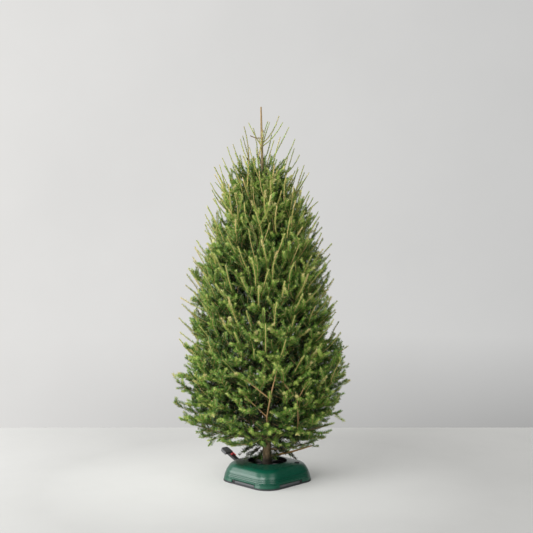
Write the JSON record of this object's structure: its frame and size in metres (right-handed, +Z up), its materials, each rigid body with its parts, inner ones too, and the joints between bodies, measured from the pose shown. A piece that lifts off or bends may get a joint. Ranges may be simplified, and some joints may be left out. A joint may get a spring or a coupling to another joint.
{
  "type": "christmas tree",
  "caption": "Cut spruce Christmas tree with a slender trunk, whorled boughs and dense needle masses, standing in a low square moulded stand with a hinged foot pedal.",
  "frame": {"origin": "middle of the stand's flat underside, on the floor", "axes": "+Z up the trunk; the stand's corners point along X and Y, with -Y the front and the pedal at the back left, between -X and +Y"},
  "size_m": [0.9641, 0.9495, 2.02],
  "materials": {
    "bark": "rough scaly bark, greenish brown, orange brown on the young shoots",
    "foliage": "short stiff needles, mid green, yellow green at the shoot tips",
    "stand_green": "glossy moulded plastic, deep green",
    "stand_black": "moulded plastic, black, satin",
    "foot_rubber": "black rubber, matt",
    "lock_red": "moulded plastic, red"
  },
  "bodies": {
    "tree": {"trunk": "bark", "bough_lowest_1": "bark", "bough_lowest_2": "bark", "bough_lowest_3": "bark", "bough_lowest_4": "bark", "bough_lowest_5": "bark", "bough_lower_1": "bark", "bough_lower_2": "bark", "bough_lower_3": "bark", "bough_lower_4": "bark", "bough_lower_5": "bark", "bough_bare": "bark", "foliage_lowest_1": "foliage", "foliage_lowest_2": "foliage", "foliage_lowest_3": "foliage", "foliage_lowest_4": "foliage", "foliage_lowest_5": "foliage", "foliage_lower_1": "foliage", "foliage_lower_2": "foliage", "foliage_lower_3": "foliage", "foliage_lower_4": "foliage", "foliage_lower_5": "foliage", "foliage_middle_1": "foliage", "foliage_middle_2": "foliage", "foliage_middle_3": "foliage", "foliage_middle_4": "foliage", "foliage_middle_5": "foliage", "foliage_upper_1": "foliage", "foliage_upper_2": "foliage", "foliage_upper_3": "foliage", "foliage_upper_4": "foliage", "foliage_upper_5": "foliage", "foliage_high_1": "foliage", "foliage_high_2": "foliage", "foliage_high_3": "foliage", "foliage_high_4": "foliage", "foliage_shoulder_1": "foliage", "foliage_shoulder_2": "foliage", "foliage_shoulder_3": "foliage", "foliage_shoulder_4": "foliage", "foliage_crest_1": "foliage", "foliage_crest_2": "foliage", "foliage_crest_3": "foliage", "stand_shell": "stand_green", "stand_gauge": "stand_black", "stand_base": "foot_rubber", "foot_strip_1": "foot_rubber", "foot_strip_2": "foot_rubber", "foot_strip_3": "foot_rubber", "foot_strip_4": "foot_rubber", "clamp_ring": "stand_black", "clamp_claw_1": "stand_black", "clamp_claw_2": "stand_black", "clamp_claw_3": "stand_black", "clamp_claw_4": "stand_black"},
    "pedal": {"pedal_lever": "stand_black", "pedal_plate": "stand_black", "lock_button": "lock_red", "lock_slide": "lock_red"}
  },
  "joints": [
    {"name": "pedal_hinge", "type": "hinge", "parent": "tree", "child": "pedal", "pos_m": [-0.11879, 0.11879, 0.036], "axis": [-0.7071, -0.7071, 0], "range_deg": [0, 24], "stiffness_Nm_per_rad": 2, "springref_deg": -20.05}
  ]
}
